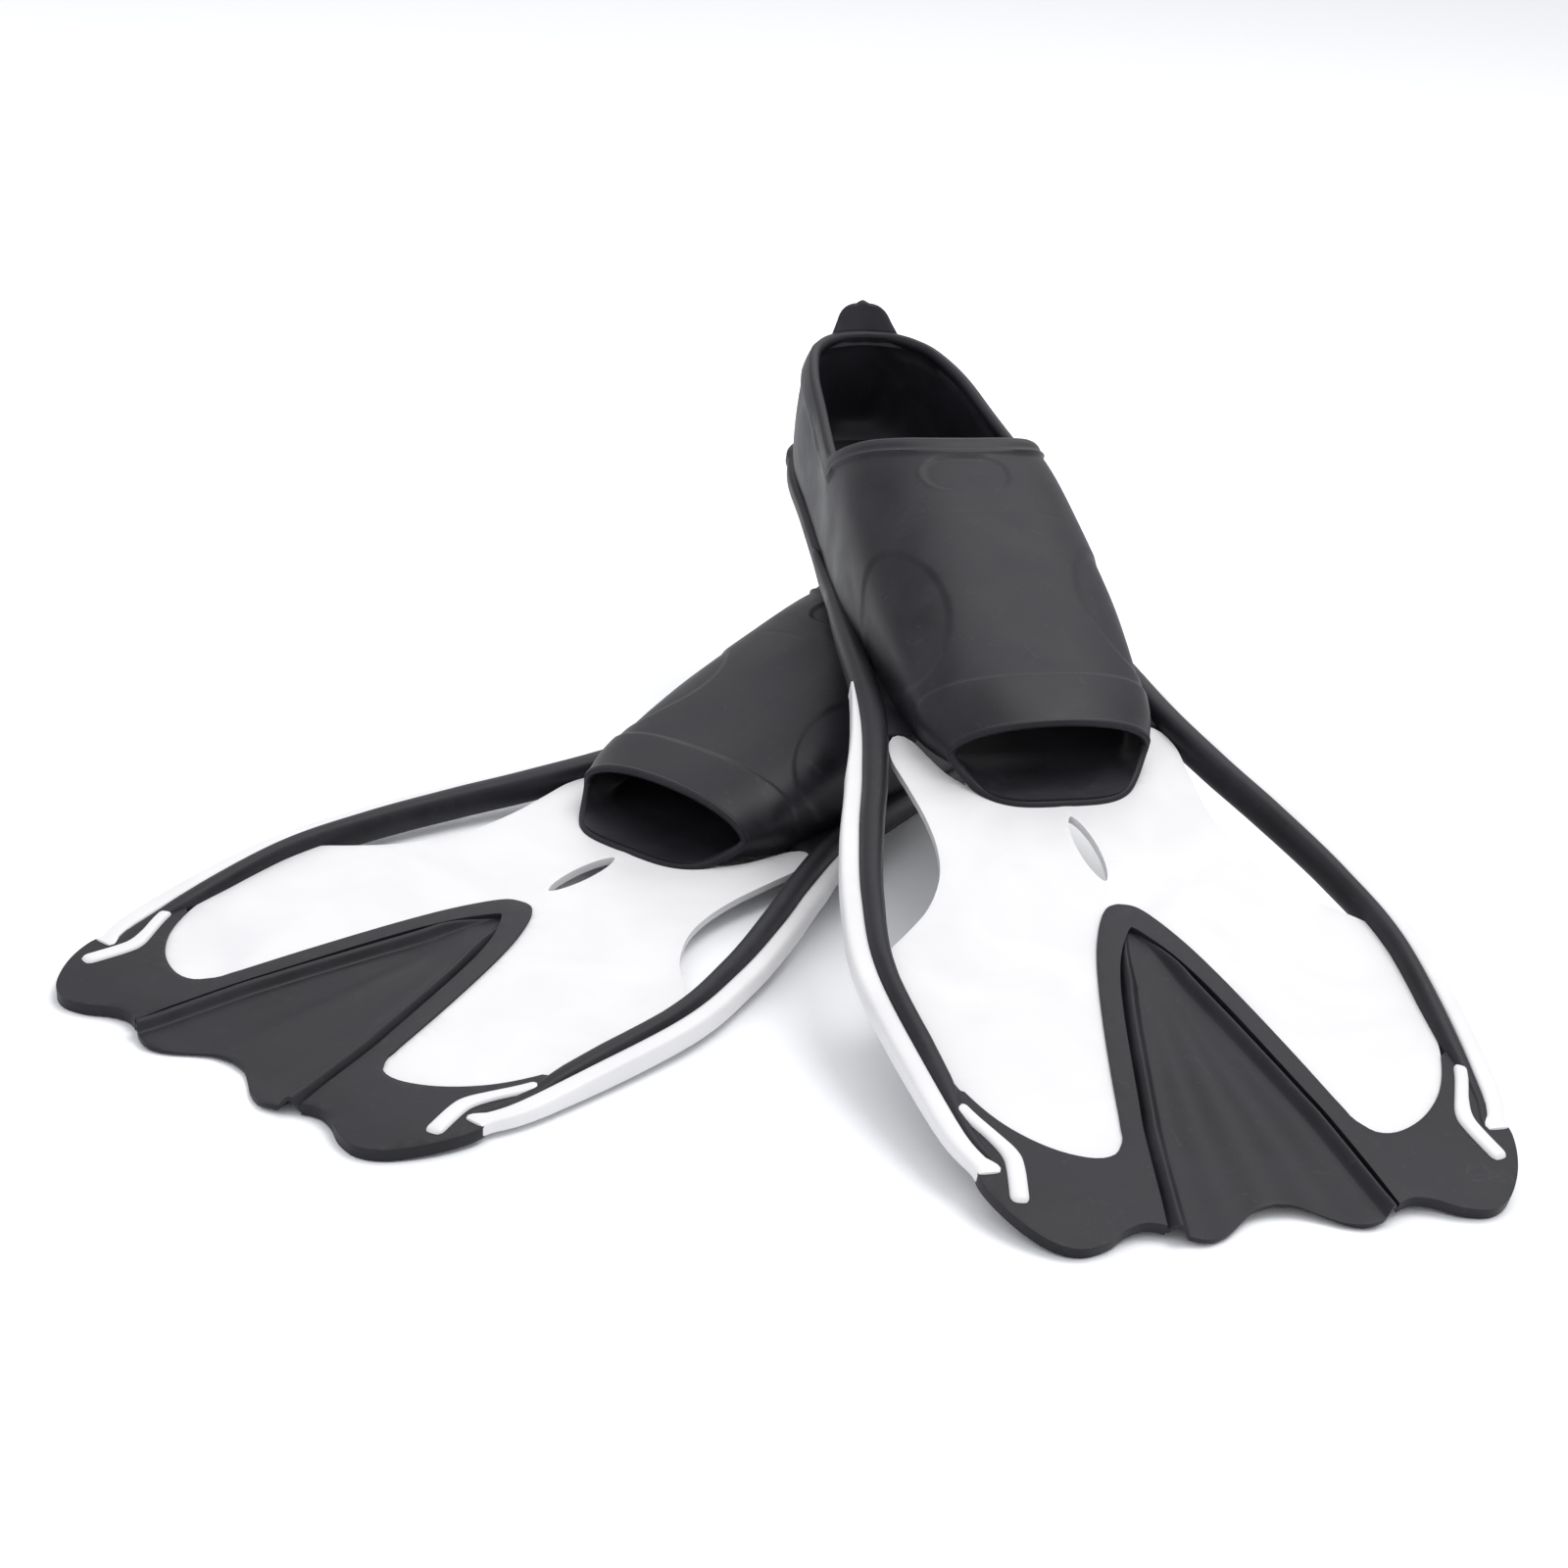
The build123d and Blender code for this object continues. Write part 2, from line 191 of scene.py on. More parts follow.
pocket_half = smooth_table(POCKET, 1, 2)
pocket_top = smooth_table(POCKET, 2, 2)
pocket_bottom = smooth_table(POCKET, 3, 2)
rail_edge = smooth_table([(reach, across) for across, reach in RAIL_EDGE], 1, 4)
channel_edge = smooth_table(CHANNEL_EDGE, 1, 2)
inner_edge_table = smooth_table(INNER_EDGE, 1, 1.5)


def signed_power(value, power):
    return math.copysign(abs(value) ** power, value)


def sole_height(reach):
    """Height of the sole line: sloping under the foot, rising to the blade, then level."""
    front, level, rise_end, blade = 150, -10, 206, -3
    if reach <= front:
        return level - 11 / 352 * (front - reach)
    return level + (blade - level) * smooth_step(front, rise_end, reach)


def roundness_at(reach, turn):
    """Squarer low down, rounder at the toe."""
    low = POCKET_ROUNDNESS + 1.6 * smooth_step(0.0, -0.5, math.sin(turn)) * smooth_step(-66, -40, reach)
    return low + (2.05 - low) * smooth_step(190, 245, reach)


def section_point(half, top, bottom, turn, roundness):
    """A point of a rounded section, as (across, height)."""
    power = 2 / roundness
    centre, half_height = (top + bottom) / 2, (top - bottom) / 2
    across = half * signed_power(math.cos(turn), power)
    return across, centre + half_height * signed_power(math.sin(turn), power)


# ---------------------------------------------------------------- meshes
def fin_matrix(fin):
    """Turns and moves a fin from its own frame to its place, from its two joints."""
    joints = {joint["name"]: joint for joint in frame["record"]["behaviour"]["joints"]}
    flex, tab = joints[fin + "_blade_flex"], joints[fin + "_tab_flex"]
    across = Vector(flex["axis"]).normalized()
    along = (Vector(flex["pos_m"]) - Vector(tab["pos_m"])).normalized()
    drawn = (FLEX_POINT - TAB_POINT).normalized()
    beside = across.cross(along)
    reach = drawn.y * along - drawn.z * beside
    up = drawn.z * along + drawn.y * beside
    turn = Matrix((across, reach, up)).transposed()
    origin = Vector(flex["pos_m"]) - turn @ (FLEX_POINT * MM)
    return Matrix.Translation(origin) @ turn.to_4x4() @ Matrix.Scale(MM, 4)


def patch(mesh, columns, rows, place):
    """Adds a grid and sets each of its points by place(u, v), with u and v from 0 to 1."""
    made = bmesh.ops.create_grid(mesh, x_segments=columns, y_segments=rows, size=0.5)
    for vert in made["verts"]:
        vert.co = Vector(place(vert.co.x + 0.5, vert.co.y + 0.5))
    return made["verts"]


def tube(mesh, path, width, height, around=16, roundness=2.2, closed=False, ends_shrink=0):
    """Adds a rounded bar along a path; width and height are values or functions of the share along it."""
    count = len(path)
    frames = []
    for index, point in enumerate(path):
        before = path[index - 1] if index or closed else path[0]
        after = path[(index + 1) % count] if index < count - 1 or closed else path[-1]
        ahead = (after - before).normalized()
        side = ahead.cross(Vector((0, 0, 1)))
        side = side.normalized() if side.length > 1e-4 else Vector((1, 0, 0))
        frames.append((point, side, side.cross(ahead).normalized()))

    def place(u, v):
        index = round(u * (count if closed else count - 1)) % count if closed else round(u * (count - 1))
        point, side, up = frames[index]
        share = index / (count - 1)
        wide = width(share) if callable(width) else width
        tall = height(share) if callable(height) else height
        if ends_shrink:
            end = min(index, count - 1 - index) / ends_shrink
            fade = 0.02 if index in (0, count - 1) else math.sqrt(max(0, 1 - (1 - min(1, end)) ** 2))
            wide, tall = wide * fade, tall * fade
        across, high = section_point(wide, tall, -tall, 2 * math.pi * v, roundness)
        return point + side * across + up * high

    patch(mesh, count if closed else count - 1, around, place)


def outline_face(mesh, loops):
    """Fills closed outlines; one inside another is a hole."""
    for loop in loops:
        verts = [mesh.verts.new((x, y, 0)) for x, y in loop]
        for first, second in zip(verts, verts[1:] + verts[:1]):
            mesh.edges.new((first, second))
    bmesh.ops.triangle_fill(mesh, use_beauty=True, edges=mesh.edges[:])


def cut_rows(mesh, axis, places):
    """Cuts the faces along a row of planes, so that they can follow a curved surface."""
    for place in places:
        spot = Vector((0, 0, 0))
        spot[axis] = place
        normal = Vector((0, 0, 0))
        normal[axis] = 1
        geometry = mesh.verts[:] + mesh.edges[:] + mesh.faces[:]
        bmesh.ops.bisect_plane(mesh, geom=geometry, dist=1e-4, plane_co=spot, plane_no=normal)


def slab(mesh, thickness, relief, bevel, under=None):
    """Gives a flat face its thickness, rounded rims and its relief above and below."""
    bmesh.ops.remove_doubles(mesh, verts=mesh.verts[:], dist=1e-3)
    for face in mesh.faces:
        if face.normal.z < 0:
            face.normal_flip()
    made = bmesh.ops.extrude_face_region(mesh, geom=mesh.faces[:])
    lower = {item for item in made["geom"] if isinstance(item, bmesh.types.BMVert)}
    for vert in lower:
        vert.co.z -= thickness
    bmesh.ops.recalc_face_normals(mesh, faces=mesh.faces[:])
    mesh.normal_update()
    rims = [edge for edge in mesh.edges if edge.is_manifold and edge.calc_face_angle(0) > math.radians(60)
            and abs(edge.verts[0].co.z - edge.verts[1].co.z) < thickness / 2]
    bmesh.ops.bevel(mesh, geom=rims, offset=bevel, segments=3, profile=0.5, affect="EDGES", material=-1,
                    clamp_overlap=True)
    for vert in mesh.verts:
        share = -vert.co.z / thickness
        raised = relief(vert.co.x, vert.co.y)
        lowered = under(vert.co.x, vert.co.y) if under else raised
        vert.co.z += raised * (1 - share) + lowered * share


def finished(mesh, fin, name, material, node_names, merge=1e-3, sharp=38):
    """Makes the object: merged, normals out, at its place in the row frame."""
    bmesh.ops.remove_doubles(mesh, verts=mesh.verts[:], dist=merge)
    bmesh.ops.dissolve_degenerate(mesh, edges=mesh.edges[:], dist=1e-4)
    bmesh.ops.recalc_face_normals(mesh, faces=mesh.faces[:])
    mesh.transform(fin_matrix(fin))
    data = bpy.data.meshes.new(fin + "_" + name)
    mesh.to_mesh(data)
    mesh.free()
    for polygon in data.polygons:
        polygon.use_smooth = True
    data.set_sharp_from_angle(angle=math.radians(sharp))
    data.materials.append(material)
    piece = bpy.data.objects.new(fin + "_" + name, data)
    bpy.context.scene.collection.objects.link(piece)
    if node_names:
        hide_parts(*[fin + "_" + node for node in node_names])
    return piece


def bend(piece, fin):
    """Lets a piece bend over the flex line with the blade."""
    place = fin_matrix(fin)
    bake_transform(piece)


# ---------------------------------------------------------------- materials
def linear(hex_colour):
    """An sRGB hex colour as linear values with alpha."""
    channels = [int(hex_colour[i:i + 2], 16) / 255 for i in (1, 3, 5)]
    return tuple(c / 12.92 if c <= 0.04045 else ((c + 0.055) / 1.055) ** 2.4 for c in channels) + (1.0,)


def add_node(tree, kind, settings=None, inputs=None):
    """Adds a node, sets its properties and its input values, and links inputs given as sockets."""
    node = tree.nodes.new(kind)
    for key, value in (settings or {}).items():
        setattr(node, key, value)
    for key, value in (inputs or {}).items():
        if isinstance(value, bpy.types.NodeSocket):
            tree.links.new(value, node.inputs[key])
        else:
            node.inputs[key].default_value = value
    return node


def new_material(name):
    material = bpy.data.materials.get(name)
    if material:
        return material, None, None
    material = bpy.data.materials.new(name)
    material.use_nodes = True
    return material, material.node_tree, material.node_tree.nodes["Principled BSDF"]


def moulded_rubber(name, dark, light, grain_mm):
    """Thermoplastic rubber, injection moulded: soft satin sheen, faint cloudy flow marks,
    a fine spark-eroded grain and pale scuffs where it is handled."""
    material, tree, shader = new_material(name)
    if tree is None:
        return material
    where = add_node(tree, "ShaderNodeTexCoord").outputs["Object"]
    clouds = add_node(tree, "ShaderNodeTexNoise", inputs={
        "Vector": where, "Scale": 1 / (38 * MM), "Detail": 3.0, "Roughness": 0.55, "Distortion": 0.6})
    scuffs = add_node(tree, "ShaderNodeTexNoise", inputs={
        "Vector": where, "Scale": 1 / (7 * MM), "Detail": 6.0, "Roughness": 0.7, "Distortion": 1.2})
    grain = add_node(tree, "ShaderNodeTexNoise", inputs={
        "Vector": where, "Scale": 1 / (grain_mm * MM), "Detail": 2.0, "Roughness": 0.6})
    tint = add_node(tree, "ShaderNodeValToRGB", inputs={"Fac": clouds.outputs["Fac"]})
    tint.color_ramp.elements[0].position = 0.35
    tint.color_ramp.elements[0].color = linear(dark)
    tint.color_ramp.elements[1].position = 0.68
    tint.color_ramp.elements[1].color = linear(light)
    worn = add_node(tree, "ShaderNodeMapRange", inputs={
        "Value": scuffs.outputs["Fac"], "From Min": 0.58, "From Max": 0.8, "To Min": 0.0, "To Max": 0.3})
    colour = add_node(tree, "ShaderNodeMix", {"data_type": "RGBA"}, {0: worn.outputs["Result"]})
    tree.links.new(tint.outputs["Color"], colour.inputs[6])
    colour.inputs[7].default_value = linear("#4a4a50")
    rough = add_node(tree, "ShaderNodeMapRange", inputs={
        "Value": clouds.outputs["Fac"], "From Min": 0.3, "From Max": 0.7, "To Min": 0.40, "To Max": 0.56})
    skin = add_node(tree, "ShaderNodeBump", inputs={
        "Height": grain.outputs["Fac"], "Strength": 0.28, "Distance": 0.12 * MM})
    tree.links.new(colour.outputs[2], shader.inputs["Base Color"])
    tree.links.new(rough.outputs["Result"], shader.inputs["Roughness"])
    tree.links.new(skin.outputs["Normal"], shader.inputs["Normal"])
    shader.inputs["IOR"].default_value = 1.5
    shader.inputs["Specular IOR Level"].default_value = 0.24
    return material


def moulded_polypropylene(name, shade, bright):
    """Polypropylene, injection moulded: near white, waxy half gloss, with faint flow marks."""
    material, tree, shader = new_material(name)
    if tree is None:
        return material
    where = add_node(tree, "ShaderNodeTexCoord").outputs["Object"]
    flow = add_node(tree, "ShaderNodeTexNoise", inputs={
        "Vector": where, "Scale": 1 / (45 * MM), "Detail": 2.0, "Roughness": 0.5, "Distortion": 0.8})
    grain = add_node(tree, "ShaderNodeTexNoise", inputs={
        "Vector": where, "Scale": 1 / (1.6 * MM), "Detail": 2.0, "Roughness": 0.5})
    tint = add_node(tree, "ShaderNodeValToRGB", inputs={"Fac": flow.outputs["Fac"]})
    tint.color_ramp.elements[0].position = 0.3
    tint.color_ramp.elements[0].color = linear(shade)
    tint.color_ramp.elements[1].position = 0.7
    tint.color_ramp.elements[1].color = linear(bright)
    rough = add_node(tree, "ShaderNodeMapRange", inputs={
        "Value": flow.outputs["Fac"], "From Min": 0.3, "From Max": 0.7, "To Min": 0.34, "To Max": 0.42})
    skin = add_node(tree, "ShaderNodeBump", inputs={
        "Height": grain.outputs["Fac"], "Strength": 0.05, "Distance": 0.08 * MM})
    tree.links.new(tint.outputs["Color"], shader.inputs["Base Color"])
    tree.links.new(rough.outputs["Result"], shader.inputs["Roughness"])
    tree.links.new(skin.outputs["Normal"], shader.inputs["Normal"])
    shader.inputs["IOR"].default_value = 1.49
    return material


def rubber_material(name="moulded black rubber", grain_mm=0.9):
    look = bpy.context.scene.fin_looks
    return moulded_rubber(name, as_hex(look.rubber_dark), as_hex(look.rubber_light), grain_mm)


def membrane_material():
    return rubber_material("moulded membrane rubber", 1.2)


def plastic_material():
    look = bpy.context.scene.fin_looks
    shade, bright = as_hex(look.plastic_shade), as_hex(look.plastic_bright)
    return moulded_polypropylene("moulded white polypropylene", shade, bright)


def as_hex(colour):
    return "#" + "".join(f"{round(255 * channel):02x}" for channel in colour)


def colour_setting(name, description, default):
    return FloatVectorProperty(name=name, description=description, size=3, min=0, max=1, default=default)


class FinLooks(bpy.types.PropertyGroup):
    """Colours of the moulded materials, as sRGB values."""
    rubber_dark: colour_setting(
        "Rubber dark", "Darker cloud of the black rubber", (0.098, 0.096, 0.114))
    rubber_light: colour_setting(
        "Rubber light", "Lighter cloud of the black rubber", (0.152, 0.148, 0.173))
    plastic_shade: colour_setting(
        "Plastic shade", "Duller flow marks of the plastic", (0.846, 0.842, 0.852))
    plastic_bright: colour_setting(
        "Plastic bright", "Brighter flow marks of the plastic", (0.878, 0.873, 0.880))


class FinSizes(bpy.types.PropertyGroup):
    """Sizes of the modelled detail."""
    wall: FloatProperty(name="Pocket wall", description="Thickness of the foot pocket's rubber",
                        default=3.0 * MM, unit="LENGTH")
    bead: FloatProperty(name="Rim bead", description="Radius of the rolled collar rim",
                        default=2.8 * MM, unit="LENGTH")
    toe_bead: FloatProperty(name="Toe bead", description="Radius of the rolled toe rim",
                            default=2.0 * MM, unit="LENGTH")
    badge_depth: FloatProperty(name="Badge depth", description="Depth of the blank badge recess",
                               default=0.7 * MM, unit="LENGTH")


# ---------------------------------------------------------------- foot pocket
def collar_height(reach):
    """Height of the collar's rim behind its corner: high at the heel, dipping at the sides."""
    return 43.6 - 4.8 * smooth_step(-45, COLLAR_CORNER, reach)


def rim_turn(reach):
    """Turn at which a pocket section reaches the collar's rim."""
    top, bottom = between(pocket_top, reach), between(pocket_bottom, reach)
    share = (collar_height(reach) - (top + bottom) / 2) / max(1, (top - bottom) / 2)
    return math.asin(min(1, max(-1, signed_power(share, POCKET_ROUNDNESS / 2))))


def pocket_point(reach, turn, out=0.0):
    """A point of the pocket's outer skin, moved outwards by out."""
    half, top, bottom = (between(table, reach) for table in (pocket_half, pocket_top, pocket_bottom))
    across, height = section_point(half + out, top + out, bottom - out, turn, roundness_at(reach, turn))
    floor = sole_height(reach) + 0.3 + 2.6 * smooth_step(228, 246, reach)
    return Vector((across, reach, soft_max(height, floor, 3.5)))


def lip_reach(turn):
    """Reach of the collar's front lip, which sweeps back and down to the corners."""
    corner = rim_turn(COLLAR_CORNER)
    across = min(turn, math.pi - turn)
    share = min(1, max(0, (across - corner) / (math.pi / 2 - corner)))
    return COLLAR_FRONT - (COLLAR_FRONT - COLLAR_CORNER) * (1 - share) ** 1.8


def toe_reach(turn):
    """Reach of the toe opening's lens-shaped edge: the lower lip stands well forward."""
    high = math.sin(turn)
    if high > 0:
        return TOE_SIDE + (TOE_TOP[0] - TOE_SIDE) * high
    return TOE_SIDE + (TOE_BOTTOM[0] - 2 - TOE_SIDE) * smooth_step(0, 1, -high)


def rim_distance(reach, turn, point):
    """How far a point of the skin lies from the collar's rim."""
    corner_turn = rim_turn(COLLAR_CORNER)
    if corner_turn <= turn <= math.pi - corner_turn:
        return reach - lip_reach(turn)
    below = max(0, collar_height(min(reach, COLLAR_CORNER)) - point.z)
    return math.hypot(max(0, reach - COLLAR_CORNER), below)


def pocket_relief(reach, turn, point, to_toe):
    """How far the skin stands out or in: collar band, badge, mould line, side ovals, toe band."""
    sizes = bpy.context.scene.fin_sizes
    from_rim = rim_distance(reach, turn, point)
    fade = smooth_step(POCKET[0][0], POCKET[0][0] + 6, reach)
    out = (1.5 * (1 - smooth_step(7.8, 10.2, from_rim)) - 0.5 * bump(from_rim, 5.5, 3)) * fade
    high = math.sin(turn)
    if high > 0.5:
        aside = math.hypot(max(0, abs(point.x - BADGE[0]) - BADGE[2]), reach - BADGE[1])
        out -= sizes.badge_depth / MM * (1 - smooth_step(8.0, 9.0, aside))
        out -= 0.6 * bump(aside, 8.9, 1.0)
        out += 0.25 * bump(aside, 10.4, 1.2)
        out -= 0.14 * bump(reach, 126, 1.2) * smooth_step(40, 30, abs(point.x))
        out -= 0.10 * bump(point.x, -9, 1.0) * smooth_step(126, 132, reach) * smooth_step(225, 205, reach)
    side_turn = math.asin(high)
    oval = math.hypot((reach - 172) / 38, (side_turn - 0.42) / 0.74)
    if high > -0.35:
        out -= 0.75 * (1 - smooth_step(0.9, 1.0, oval)) - 0.25 * (1 - smooth_step(0.0, 0.8, oval))
    out += 0.9 * (1 - smooth_step(24.5, 26.5, to_toe)) * smooth_step(-0.35, 0.1, high)
    return out


def build_foot_pocket(fin):
    sizes = bpy.context.scene.fin_sizes
    mesh = bmesh.new()
    corner_turn = rim_turn(COLLAR_CORNER)

    def skin(reach, turn, end):
        wrapped = turn % (2 * math.pi)
        bare = pocket_point(reach, wrapped)
        return pocket_point(reach, wrapped, pocket_relief(reach, wrapped, bare, end - reach))

    def vamp(u, v):
        turn = corner_turn + (math.pi - 2 * corner_turn) * u
        start, end = lip_reach(turn), toe_reach(turn)
        return skin(start + (end - start) * v, turn, end)

    def lower(u, v):
        turn = corner_turn - (math.pi + 2 * corner_turn) * u
        end = toe_reach(turn)
        return skin(COLLAR_CORNER + (end - COLLAR_CORNER) * v, turn, end)

    def heel(u, v):
        reach = COLLAR_CORNER + (POCKET[0][0] - COLLAR_CORNER) * math.sin(v * math.pi / 2) ** 0.92
        turn_here = rim_turn(reach)
        return skin(reach, turn_here - (math.pi + 2 * turn_here) * u, FAR)

    patch(mesh, 104, 150, vamp)
    patch(mesh, 108, 150, lower)
    patch(mesh, 108, 90, heel)
    bmesh.ops.remove_doubles(mesh, verts=mesh.verts[:], dist=0.01)
    bmesh.ops.recalc_face_normals(mesh, faces=mesh.faces[:])
    mesh.normal_update()
    mesh.verts.ensure_lookup_table()
    probe = min(mesh.faces, key=lambda face: (face.calc_center_median() - Vector((0, 150, 52))).length)
    if probe.normal.z < 0:
        bmesh.ops.reverse_faces(mesh, faces=mesh.faces[:])
    bmesh.ops.solidify(mesh, geom=mesh.faces[:], thickness=sizes.wall / MM)
    rim = []
    for index in range(61):
        reach = COLLAR_CORNER + (POCKET[0][0] - COLLAR_CORNER) * math.sin(index / 60 * math.pi / 2) ** 0.92
        rim.append(pocket_point(reach, rim_turn(reach), -1.2))
    left = [Vector((-point.x, point.y, point.z)) for point in reversed(rim)]
    lip = []
    for index in range(1, 60):
        turn = math.pi - corner_turn - (math.pi - 2 * corner_turn) * index / 60
        lip.append(pocket_point(lip_reach(turn), turn, -1.2))
    collar = rim[:-1] + left + lip
    tube(mesh, collar, sizes.bead / MM, sizes.bead / MM, around=14, closed=True)
    toe = []
    for index in range(120):
        turn = 2 * math.pi * index / 120
        toe.append(pocket_point(toe_reach(turn), turn, -0.9))
    toe_tube(mesh, toe, sizes.toe_bead / MM)
    piece = finished(mesh, fin, "pocket", rubber_material(), ["foot_pocket"], merge=1e-4)
    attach(piece, fin + "_foot")


def toe_tube(mesh, path, radius):
    """The toe rim's bead; its sections stand square to the rim all the way round."""
    count = len(path)
    middle = sum(path, Vector()) / count

    def place(u, v):
        index = round(u * count) % count
        ahead = (path[(index + 1) % count] - path[index - 1]).normalized()
        outward = (path[index] - middle)
        outward = (outward - ahead * outward.dot(ahead)).normalized()
        normal = ahead.cross(outward)
        turn = 2 * math.pi * v
        return path[index] + radius * (outward * math.cos(turn) + normal * math.sin(turn))

    patch(mesh, count, 12, place)


def build_heel_tab(fin):
    """The pull tab: a tongue that leans back, with a crease at its root and a nub on top."""
    mesh = bmesh.new()
    lean = math.radians(36)
    length, thickness = 21.5, 1.7

    def place(u, v, face):
        climb = v * length
        half = 20.5 - 8 * smooth_step(-2, 20, climb)
        rounding = max(0, (climb - (length - 8)) / 8)
        half *= math.sqrt(max(0.0, 1 - (rounding * 0.94) ** 2.8))
        across = (2 * u - 1) * half
        edge = math.sqrt(max(0, 1 - abs(2 * u - 1) ** 6))
        edge *= math.sqrt(max(0, 1 - max(0, (v - 0.9) / 0.1) ** 2 * 0.99))
        nub = 1.6 * bump(across, 0, 4) * smooth_step(length - 4, length, climb)
        crease = 0.7 * bump(climb, 6.5, 1.3)
        away = face * (thickness * edge - crease * edge)
        bow = 0.011 * across * across
        base = Vector((across, -68.4, 38.5))
        climb += nub
        up = Vector((0, -math.sin(lean) * climb, math.cos(lean) * climb))
        back = Vector((0, -math.cos(lean), -math.sin(lean)))
        return base + up + back * away + Vector((0, bow * (1 - v * 0.5), 0))

    patch(mesh, 40, 44, lambda u, v: place(u, v, 1))
    patch(mesh, 40, 44, lambda u, v: place(u, v, -1))
    piece = finished(mesh, fin, "tab", rubber_material(), ["heel_tab"], merge=0.02, sharp=60)
    matrix = fin_matrix(fin)
    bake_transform(piece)


def build_sole_tread(fin):
    """The outsole: a tray that wraps the sole's edge, with wavy bars underneath."""
    mesh = bmesh.new()
    first, last = POCKET[0][0] - 0.4, 152

    def place(u, v):
        depth = math.sin(v * math.pi / 2)
        reach = last + (first - last) * depth
        turn = 2 * math.pi * u
        inside = max(reach, POCKET[0][0])
        half = between(pocket_half, inside) + 0.5
        if reach < -45:
            share = min(1, (-45 - reach) / (-45 - first))
            half = (between(pocket_half, -45) + 0.5) * math.sqrt(max(0, 1 - share ** 2.3))
        wave = math.sin(reach * 2 * math.pi / 17)
        half += 0.5 * wave * smooth_step(-0.1, -0.8, math.sin(turn)) * smooth_step(0, 12, half)
        line = sole_height(reach)
        across, height = section_point(half, line + 5.5, line - 5.0, turn, 5)
        if height < line - 4.4:
            bar = math.sin((reach + 3.5 * math.sin(across * 0.16)) * 2 * math.pi / 11)
            height += 0.9 * smooth_step(0.1, 0.5, bar)
        return Vector((across, reach, height))

    patch(mesh, 132, 150, place)
    bmesh.ops.remove_doubles(mesh, verts=mesh.verts[:], dist=0.01)
    holes = [edge for edge in mesh.edges if edge.is_boundary]
    bmesh.ops.holes_fill(mesh, edges=holes, sides=0)
    piece = finished(mesh, fin, "tread", rubber_material(), ["sole_tread", "sole_plate"])
    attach(piece, fin + "_foot")


# ---------------------------------------------------------------- rails and strips
def lofted_bar(mesh, side, first, last, rows, around, outer, inner, top, under, roundness, round_ends):
    """A bar between two edges given by reach, with rounded sections and ends."""
    def place(u, v):
        reach = first + (last - first) * v
        out, into = outer(reach), inner(reach)
        high, low = top(reach), under(reach)
        middle, half = (out + into) / 2, (out - into) / 2
        centre, tall = (high + low) / 2, (high - low) / 2
        start_share, end_share = round_ends
        fade = 1.0
        if start_share and reach - first < start_share:
            fade = math.sqrt(max(0.0, 1 - (1 - (reach - first) / start_share) ** 2))
        if end_share and last - reach < end_share:
            fade = min(fade, math.sqrt(max(0.0, 1 - (1 - (last - reach) / end_share) ** 2)))
        across, height = section_point(half * fade, tall * fade, -tall * fade, 2 * math.pi * u, roundness)
        return Vector((side * (middle + across), reach, centre + height))

    patch(mesh, around, rows, place)
    bmesh.ops.remove_doubles(mesh, verts=mesh.verts[:], dist=0.004)


def build_rails(fin):
    for side, side_name in ((-1, "left"), (1, "right")):
        mesh = bmesh.new()
        lofted_bar(
            mesh, side, 46, 470, 208, 28,
            outer=lambda reach: between(rail_edge, reach),
            inner=lambda reach: between(rail_edge, reach) - between(RAIL_WIDTH, reach),
            top=lambda reach: between(smooth_rail_top, reach),
            under=lambda reach: between(RAIL_UNDER, reach),
            roundness=2.4, round_ends=(10, 8),
        )
        lofted_bar(
            mesh, side, 84, 215, 70, 24,
            outer=lambda reach: between(rail_edge, reach) - 2.5,
            inner=lambda reach: between(pocket_half, reach) - 5,
            top=lambda reach: -7.5 + 8.6 * smooth_step(84, 175, reach),
            under=lambda reach: -13 + 7.5 * smooth_step(84, 195, reach),
            roundness=3.5, round_ends=(6, 3),
        )
        piece = finished(mesh, fin, "side_rail_" + side_name, rubber_material(),
                         ["rail_root_" + side_name, "rail_" + side_name])
        bend(piece, fin)


smooth_rail_top = smooth_table(RAIL_TOP, 1, 4)


def build_strips(fin):
    for side, side_name in ((-1, "left"), (1, "right")):
        mesh = bmesh.new()

        def inner(reach):
            hook = 3.2 * bump(reach, 464, 5.5)
            return between(rail_edge, min(reach, 461)) - 0.8 - hook

        lofted_bar(
            mesh, side, 178, 467.5, 170, 24,
            outer=lambda reach: between(rail_edge, min(reach, 463)) + between(STRIP_WIDTH, reach),
            inner=inner,
            top=lambda reach: 3.6 - 1.6 * smooth_step(400, 463, reach),
            under=lambda reach: -5.2 + 1.4 * smooth_step(400, 463, reach),
            roundness=4.2, round_ends=(0, 2.6),
        )
        piece = finished(mesh, fin, "edge_strip_" + side_name, plastic_material(),
                         ["strip_root_" + side_name, "strip_" + side_name])
        bend(piece, fin)


# ---------------------------------------------------------------- plate, channel and tip
def mirrored_loop(points, step):
    """A closed outline from its right half, which starts and ends on the middle line."""
    right = flowing([Vector(point) for point in points], step)
    right = [(point.x, point.y) for point in right]
    left = [(-x, y) for x, y in reversed(right) if x > 0.01]
    return right + left


